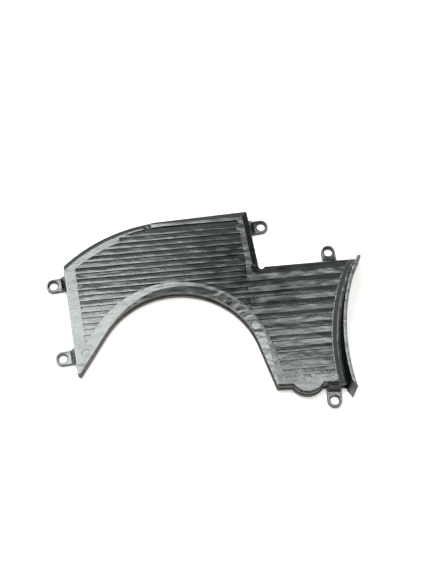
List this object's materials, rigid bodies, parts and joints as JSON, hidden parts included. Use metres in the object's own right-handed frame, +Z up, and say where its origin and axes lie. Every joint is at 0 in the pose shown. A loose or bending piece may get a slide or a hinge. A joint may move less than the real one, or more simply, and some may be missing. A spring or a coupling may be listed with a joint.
{
  "type": "cvt air deflector",
  "caption": "Ribbed black plastic air deflector for a belt drive housing, a shallow tray round an arched bay with drilled ears and a tall curved outlet wall.",
  "frame": {"origin": "centre of the bounding box, in the mounting plane under the ears and walls", "axes": "+X along the ribs towards the outlet wall, the longest way; +Y towards the stepped edge; +Z up out of the ribbed face"},
  "size_m": [0.2348, 0.158, 0.0285],
  "materials": {
    "black_plastic": "satin as moulded, with glossy scuffed highlights"
  },
  "bodies": {
    "root": {"air_deflector": "black_plastic"}
  },
  "joints": []
}
